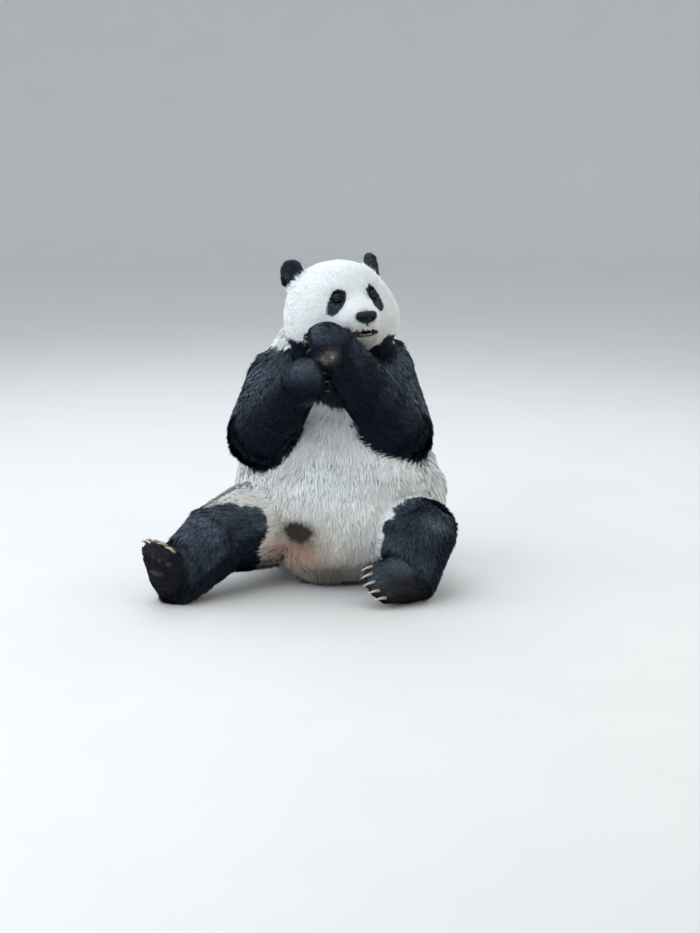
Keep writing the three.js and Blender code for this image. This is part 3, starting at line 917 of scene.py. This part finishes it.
def skin_material():
    """Skin under the coat, bare on the pads, lips and lids, with a fine grain."""
    shine = {"Roughness": 0.62, "Specular IOR Level": 0.35}
    return material("skin", 320.0, "tint", shine, tones=(0.8, 1.15), bump=(0.6, 0.0015), detail=6.0)


def nose_material():
    """Moist black leather with fine pebbles."""
    stops = ((0.0, (0.003, 0.003, 0.004)), (1.0, (0.011, 0.011, 0.012)))
    shine = {"Roughness": (0.32, 0.5), "Specular IOR Level": 0.15}
    return material("nose", 90.0, None, shine, stops, bump=(0.5, 0.0006), pebbles=650.0)


def eye_material():
    """A black pupil, a dark brown iris and a darker white, under a clear wet coat."""
    pupil, iris = (0.24, (0.001, 0.001, 0.001)), (0.29, (0.007, 0.004, 0.003))
    rim, white = (0.46, (0.005, 0.003, 0.003)), (0.54, (0.003, 0.002, 0.002))
    shine = {"Roughness": 0.25, "Specular IOR Level": 0.2}
    shine |= {"Coat Weight": 0.3, "Coat IOR": 1.35, "Coat Roughness": 0.04}
    return material("eye", 900.0, "off_axis", shine, (pupil, iris, rim, white), tones=(0.7, 1.3))


def horn_material(name, root, body, tip, rough=0.35):
    """Horn or enamel, from its colour at the root to its colour at the tip."""
    shine, stops = {"Roughness": rough}, ((0.0, root), (0.45, body), (1.0, tip))
    return material(name, 400.0, "along", shine, stops, tones=(0.75, 1.15), bump=(0.3, 0.0004))


def tongue_material():
    """Wet flesh with small bumps."""
    stops = ((0.0, (0.26, 0.075, 0.07)), (1.0, (0.46, 0.17, 0.15)))
    return material("tongue", 500.0, None, {"Roughness": 0.3}, stops, bump=(0.5, 0.0008))


def floor_material():
    """Pale paper that is nearly even."""
    return material("floor", 3.0, (0.66, 0.66, 0.65), {"Roughness": 0.8}, tones=(0.97, 1.03))


# ---------- skin and coat pieces


def make_skin(material):
    """The skin and its unwrap. Returns the place of each loop on it."""
    skin.write()
    paint(skin.mesh, skin_colour)
    piece = add_piece("skin", skin.mesh, material, FLESH)
    bpy.context.view_layer.objects.active = piece
    piece.select_set(True)
    skin.mesh.uv_layers.new(name="OFBake")
    bpy.ops.object.mode_set(mode="EDIT")
    bpy.ops.mesh.select_all(action="SELECT")
    bpy.ops.uv.smart_project(angle_limit=math.radians(66.0), island_margin=0.002)
    bpy.ops.object.mode_set(mode="OBJECT")
    return rows(skin.mesh.uv_layers["OFBake"].data, "uv", 2)


# How bright a blade is at its two root corners, its two middle corners and its tip; the black hair's bright
# tips are partly painted sheen.
WHITE_ALONG = np.array([0.88, 0.88, 0.99, 0.99, 1.04])[None, :, None]
BLACK_ALONG_WITH_SHEEN = np.array([0.6, 0.6, 0.95, 0.95, 1.6])[None, :, None]
# A blade's corners on the unwrap.
BLADE_SPOT = np.array([[-1, -1], [1, -1], [-1, 0], [1, 0], [0, 1]]) * PATCH / 2.0


def make_coat(name, chosen, seed, count):
    """A piece of the coat: blades of hair over the chosen triangles of the skin."""
    rng = np.random.default_rng(seed)
    ends = skin.triangles[chosen]
    p, q, r = (skin.verts[ends[:, k]] for k in range(3))
    area = np.linalg.norm(np.cross(q - p, r - p), axis=1) / 2.0
    hair = haired[ends].mean(1) / (length[ends].mean(1) * width[ends].mean(1)) ** 0.5
    weight = area * hair
    picks = rng.choice(len(chosen), count, p=weight / weight.sum())
    a, b = rng.random((2, count))
    fold = a + b > 1.0
    a[fold], b[fold] = 1.0 - a[fold], 1.0 - b[fold]
    share = np.stack([1.0 - a - b, a, b], axis=1)
    at = ends[picks]

    def blend(values):
        """Values of the vertices, at the roots of the blades."""
        return (values[at] * share.reshape(share.shape + (1,) * (values.ndim - 1))).sum(1)

    root, out = blend(skin.verts), unit(blend(normals))
    lie = laid(unit(blend(flow)), out)
    lie = unit(lie + np.cross(out, lie) * rng.normal(0.0, 0.22, count)[:, None])
    long = blend(length) * rng.uniform(0.72, 1.18, count)
    wide = blend(width) * rng.uniform(0.7, 1.25, count)
    rise = np.arcsin(np.clip(blend(depth) / blend(length), 0.05, 0.9)) * rng.uniform(0.8, 1.15, count)
    steep, flat = (rise * 1.45)[:, None], (rise * 0.55)[:, None]
    first = lie * np.cos(steep) + out * np.sin(steep)
    last = lie * np.cos(flat) + out * np.sin(flat)
    start = root - out * 0.0015
    bend = start + first * (long * 0.5)[:, None]
    tip = bend + last * (long * 0.5)[:, None]
    bend, tip = gather(bend, tip, root, rng)
    for points in (start, bend, tip):
        points[:, 2] = np.maximum(points[:, 2], 0.001)
    roll = rng.normal(0.0, 0.55, count)[:, None]
    across = unit(np.cross(out, first))
    across = across * np.cos(roll) + np.cross(first, across) * np.sin(roll)
    half = across * (wide / 2.0)[:, None]
    verts = np.stack([start - half, start + half, bend - half * 0.8, bend + half * 0.8, tip], axis=1)
    mixed = blend(black)
    mixed = mixed + rng.normal(0.0, 0.35, count) * (mixed * (1.0 - mixed)) ** 0.5
    dark = ramp(0.3, 0.7, mixed)[:, None, None]
    white_tone = rng.normal(1.0, 0.05, (count, 1, 1)) * WHITE_ALONG * (1.0 - dark)
    black_tone = np.exp(rng.normal(-0.05, 0.35, (count, 1, 1))) * BLACK_ALONG_WITH_SHEEN * dark
    shades = blend(pale)[:, None, :] * white_tone + blend(dusky)[:, None, :] * black_tone
    where = (unwrap[skin.loops[chosen][picks]] * share[:, :, None]).sum(1)
    leaf = unit(np.cross(bend - start, across))
    leaf = leaf * np.sign((leaf * out).sum(1, keepdims=True))
    leaning = 0.35 - 0.15 * (1.0 - dark[:, 0])
    facing = np.repeat(unit(out * (1.0 - leaning) + leaf * leaning)[:, None, :], 5, axis=1)
    mesh = blades(name, verts, where[:, None, :] + BLADE_SPOT)
    paint(mesh, np.clip(shades, 0.0, 1.0).reshape(-1, 3))
    mesh.attributes.new("custom_normal", "FLOAT_VECTOR", "POINT").data.foreach_set("vector", facing.ravel())
    add_piece(name, mesh, coat)


def gather(bend, tip, root, rng):
    """Draws the hairs together into locks, more at the tips than half way."""
    centres = rng.choice(len(root), max(1, len(root) // 14), replace=False)
    tree = kdtree.KDTree(len(centres))
    for i, k in enumerate(centres):
        tree.insert(root[k], i)
    tree.balance()
    lock = centres[np.array([tree.find(point)[1] for point in root])]
    pull = rng.uniform(0.25, 0.6, len(root))[:, None]
    near = np.linalg.norm(root[lock] - root, axis=1, keepdims=True)
    pull = pull * np.clip(1.0 - near / 0.03, 0.0, 1.0)
    return bend + (bend[lock] - bend) * pull * 0.3, tip + (tip[lock] - tip) * pull


def blades(name, verts, spots):
    """A mesh of blades, each a quad and a triangle on five vertices, with their spots on the unwrap."""
    count = len(verts)
    mesh = bpy.data.meshes.new(name)
    mesh.vertices.add(count * 5)
    mesh.vertices.foreach_set("co", verts.ravel())
    loops = (np.arange(count) * 5)[:, None] + np.array([1, 0, 2, 3, 3, 2, 4])
    mesh.loops.add(loops.size)
    mesh.loops.foreach_set("vertex_index", loops.ravel())
    starts = (np.arange(count) * 7)[:, None] + np.array([0, 4])
    mesh.polygons.add(count * 2)
    mesh.polygons.foreach_set("loop_start", starts.ravel())
    mesh.update(calc_edges=True)
    layer = mesh.uv_layers.new(name="OFBake")
    layer.data.foreach_set("uv", spots.reshape(-1, 2)[loops.ravel()].ravel())
    return mesh


# ---------- eyes, nose, tongue, teeth and claws


def ball(rings, spokes):
    """Unit sphere points, poles at plus and minus Z, and its faces."""
    points = [(0.0, 0.0, 1.0)]
    for i in range(1, rings):
        tilt = math.pi * i / rings
        points += [(math.sin(tilt) * c, math.sin(tilt) * s, math.cos(tilt)) for c, s in circle(spokes)]
    points.append((0.0, 0.0, -1.0))
    last, row = len(points) - 1, len(points) - 1 - spokes
    faces = [(0, 1 + k, 1 + (k + 1) % spokes) for k in range(spokes)]
    faces += [tuple(1 + i for i in face) for face in grid_faces(rings - 1, spokes)]
    faces += [(last, row + (k + 1) % spokes, row + k) for k in range(spokes)]
    return np.array(points), faces


def make_eye(side, material):
    """An eyeball with a bulging cornea. It knows how far each point is off its axis."""
    points, faces = ball(32, 40)
    bulge = 1.0 + 0.05 * ramp(0.8, 1.0, points[:, 2])
    mesh = mesh_of("eye", EYES[side].outside(points * bulge[:, None] * EYE_RADIUS), faces)
    store(mesh, "off_axis", np.arccos(np.clip(points[:, 2], -1.0, 1.0)) / (math.pi / 2.0))
    add_piece("eye_of_" + side, mesh, material, ["eye_" + side])


def make_nose(material):
    """The nose pad: wide above, drawn in below, with comma nostrils and a groove down the middle."""
    points, faces = ball(56, 72)
    p = points[:, [0, 2, 1]] * [1.0, -1.0, 1.0]
    ring = np.maximum(np.hypot(p[:, 0], p[:, 2]), 1e-6)
    square = ((np.abs(p[:, 0]) / ring) ** 3.2 + (np.abs(p[:, 2]) / ring) ** 3.2) ** (-1.0 / 3.2)
    p[:, [0, 2]] *= (1.0 + (square - 1.0) * ramp(-0.2, 0.3, p[:, 2]))[:, None]
    low = ramp(0.1, 1.0, -p[:, 2])
    verts = p * np.array([0.03, 0.018, 0.0165])
    verts[:, 0] *= 1.0 - 0.34 * low
    verts[:, 2] += 0.002 * ramp(0.3, 1.0, np.abs(p[:, 0])) * (p[:, 2] > 0)
    ahead = ramp(0.1, 0.5, -p[:, 1])
    for sign in SIDES.values():
        pit = blob(verts[:, [0, 2]], (sign * 0.0125, -0.0015), (0.0055, 0.0042))
        slit = blob(verts[:, [0, 2]], (sign * 0.0205, -0.0045), (0.0065, 0.0022))
        verts[:, 1] += (0.009 * pit + 0.005 * slit) * ahead
        wing = blob(verts[:, [0, 2]], (sign * 0.0165, 0.0065), (0.008, 0.004))
        verts[:, 1] -= 0.0022 * wing * ahead
    groove = blob(verts[:, [0]], (0.0,), (0.0016,)) * ramp(0.0, 0.006, -verts[:, 2])
    verts[:, 1] += 0.0028 * groove * ahead
    tilt = math.radians(12.0)
    place = Place(middle("nose"), HEAD.turn[0], HEAD.way([0.0, math.cos(tilt), math.sin(tilt)]))
    mesh = mesh_of("nose", place.outside(verts), faces)
    add_piece("nose_pad", mesh, material, ["nose"])


def make_tongue(material):
    """The CAD tongue, rounded by subdivision."""
    faces = [tuple(p.vertices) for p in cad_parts["tongue"].data.polygons]
    mesh = mesh_of("tongue", corners("tongue"), faces)
    piece = add_piece("tongue_flesh", mesh, material, ["tongue"])
    rounded = piece.modifiers.new("rounded", "SUBSURF")
    rounded.levels = rounded.render_levels = 2


def make_teeth(material):
    """Both rows of teeth, standing in the gums behind the lips."""
    points, one = ball(14, 16)
    verts, faces, along = [], [], []
    for upper in (-1.0, 1.0):
        for turn, far, half, over, pointed in dental_arc:
            root = lip_line(turn) + upper * (lip_gap(turn) + 0.007)
            rise = 0.007 + over * MM * (1.0 if upper < 0.0 else 0.9)
            t = (points[:, 2] + 1.0) / 2.0
            slim = (1.0 - pointed * t) * (1.0 + 0.25 * t * (1.0 - t) * 4.0)
            across, ahead = points[:, 0] * half * MM * slim, points[:, 1] * 0.8 * half * MM * slim
            faces += [tuple(len(verts) + i for i in (face if upper < 0.0 else face[::-1])) for face in one]
            for x, y, s in zip(across, ahead, t):
                place = bite_place(turn, far + y, root - upper * rise * s)
                verts.append(place + HEAD.way([x * math.cos(turn), x * math.sin(turn), 0.0]))
            along += list(t)
    mesh = mesh_of("teeth", verts, faces)
    store(mesh, "along", along)
    add_piece("teeth", mesh, material)


def make_claws(foot, pair, radius, shown, material):
    """The five claws of a foot, each a bent horn that runs from inside its toe out of the hair."""
    place = FEET[foot]
    nodes = [f"claw_{pair}_{foot[-1]}_{i}" for i in range(1, 6)]
    verts, along = [], []
    rings, spokes = 12, 12
    for node in nodes:
        points = corners(node)
        tip = points[np.linalg.norm(points - place.origin, axis=1).argmax()]
        far = np.linalg.norm(points - tip, axis=1)
        base = points[far > 0.8 * far.max()].mean(0)
        way = unit(tip - base)
        tip = base + (tip - base) * shown
        base = base - way * 0.012
        across = unit(place.turn[0] - way * (place.turn[0] @ way))
        back = np.cross(across, way)
        for t in np.arange(rings + 1) / rings:
            centre = base + (tip - base) * t + back * 0.0055 * math.sin(math.pi * t)
            thick = radius * ((1.0 - t) ** 0.75 + 0.03)
            verts += [centre + (across * 0.8 * c + back * s) * thick for c, s in circle(spokes)]
            along += [t] * spokes
    one = [tuple(reversed(range(spokes)))]
    one += [face[:1] + face[:0:-1] for face in grid_faces(rings + 1, spokes)]
    one.append(tuple(rings * spokes + k for k in range(spokes)))
    size = (rings + 1) * spokes
    faces = [tuple(i + size * number for i in face) for number in range(len(nodes)) for face in one]
    mesh = mesh_of("claws", verts, faces)
    store(mesh, "along", along)
    add_piece("claws_of_" + foot, mesh, material, nodes)


# ---------- making


def triangles_of(parts, where):
    """The skin's triangles whose first vertex is on these nodes or kinds, where it is asked for."""
    first = skin.triangles[:, 0]
    mask = (np.isin(node_of, parts) | np.isin(kind_of, parts)) & where
    return np.flatnonzero(mask[first])


unwrap = make_skin(skin_material())
coat = coat_material()
front = skin.verts[:, 1] < middle("trunk")[1]
ahead = in_head[:, 1] < -0.075

# Each piece of the coat: its name, slot, nodes or kinds, where on them, seed and number of tufts.
pieces = [
    ("face", "white_coat", ["head", "jaw", "lid", "lip"], ahead, 1, TUFTS),
    ("crown", "white_coat", ["head", "jaw", "ear"], ~ahead, 9, TUFTS),
    ("neck", "white_coat", ["neck"], True, 2, TUFTS // 2),
    ("belly", "white_coat", ["trunk"], front, 3, TUFTS),
    ("back", "white_coat", ["trunk", "tail"], ~front, 4, TUFTS),
]
for side, seed in (("R", 5), ("L", 7)):
    leg, arm = ([f"{part}_{side}" for part in parts] for parts in (LIMBS[:3], LIMBS[3:]))
    pieces.append(("arm_" + side, "black_coat", arm, True, seed, TUFTS))
    pieces.append(("leg_" + side, "black_coat", leg, True, seed + 1, TUFTS))
for name, slot, parts, where, seed, count in pieces:
    make_coat("coat_" + name, triangles_of(parts, where), seed, count)

eye_glass = eye_material()
for side in SIDES:
    make_eye(side, eye_glass)
make_nose(nose_material())
make_tongue(tongue_material())
pale_horn = horn_material("pale_horn", (0.16, 0.12, 0.09), (0.46, 0.39, 0.31), (0.62, 0.56, 0.47))
dark_horn = horn_material("dark_horn", (0.012, 0.011, 0.01), (0.022, 0.019, 0.017), (0.06, 0.05, 0.042), 0.6)
make_teeth(horn_material("enamel", (0.36, 0.2, 0.15), (0.6, 0.54, 0.43), (0.68, 0.64, 0.55)))
for side in SIDES:
    make_claws("foot_" + side, "hind", 0.0064, 1.0, pale_horn)
    make_claws("paw_" + side, "fore", 0.005, 0.5, dark_horn)

# ---------- studio

scene = bpy.context.scene
AIM = Vector((0.138, 0.103, 0.31))  # what the middle of the picture shows
DISTANCE, ELEVATION, LENS, SENSOR = 6.0, math.radians(12.0), 79.9, 36.0
LIT = Vector((0.0, 0.0, 0.5))  # what the lamps point at
SKY, SKY_STRENGTH = (0.86, 0.92, 1.0, 1.0), 0.8
# Each lamp: its place, width, power and colour.
LAMPS = {
    "sky": ((-0.6, -0.8, 3.8), 4.0, 54.0, (0.96, 0.985, 1.0)),
    "back": ((-0.9, 2.6, 3.0), 3.0, 42.0, (0.92, 0.96, 1.0)),
    "front": ((-2.4, -3.4, 1.8), 3.0, 62.0, (0.97, 0.99, 1.0)),
    "bounce": ((3.0, -1.6, 1.3), 1.6, 18.0, (1.0, 0.86, 0.55)),
    "left": ((-3.4, -0.2, 2.2), 2.4, 34.0, (0.9, 0.96, 1.0)),
    "rim": ((2.2, 2.0, 2.4), 2.0, 20.0, (0.9, 0.95, 1.0)),
}


def make_floor():
    """A wide pale floor that curves up into a wall all round."""
    radius, height, curve, spokes, steps = 11.0, 5.0, 3.0, 96, 16
    outline = [(r, 0.0) for r in (1.0, 3.0, 5.0, 7.0, 7.9)]
    for i in range(steps + 1):
        turn = math.pi / 2.0 * i / steps
        outline.append((radius - curve + curve * math.sin(turn), curve * (1.0 - math.cos(turn))))
    outline.append((radius, height))
    verts = [(r * c, r * s, z) for r, z in outline for c, s in circle(spokes)]
    mesh = mesh_of("floor", verts, [tuple(range(spokes)), *grid_faces(len(outline), spokes)])
    mesh.shade_smooth()
    mesh.materials.append(floor_material())
    floor = put("floor", mesh)


def make_light():
    """Soft lamps and a pale sky. The lamps themselves stay out of the picture."""
    scene.world = bpy.data.worlds.new("studio")
    scene.world.use_nodes = True
    background = scene.world.node_tree.nodes["Background"].inputs
    background["Color"].default_value = SKY
    background["Strength"].default_value = SKY_STRENGTH
    for name, (place, width, power, colour) in LAMPS.items():
        light = bpy.data.lights.new(name, "AREA")
        light.shape = "DISK"
        light.size, light.energy, light.color = width, power, colour
        lamp = put(name, light)
        lamp.location = place
        lamp.visible_camera = False
        lamp.rotation_euler = (LIT - Vector(place)).to_track_quat("-Z", "Y").to_euler()


def make_camera():
    """The photo's view: from in front, a little above the animal."""
    scene.camera = camera = put("camera", bpy.data.cameras.new("camera"))
    camera.data.lens, camera.data.sensor_width = LENS, SENSOR
    ahead = Vector((0.0, math.cos(ELEVATION), -math.sin(ELEVATION)))
    camera.location = AIM - ahead * DISTANCE
    camera.rotation_mode = "QUATERNION"
    camera.rotation_quaternion = ahead.to_track_quat("-Z", "Y")


make_floor()
make_light()
make_camera()
scene.view_settings.view_transform = "Standard"
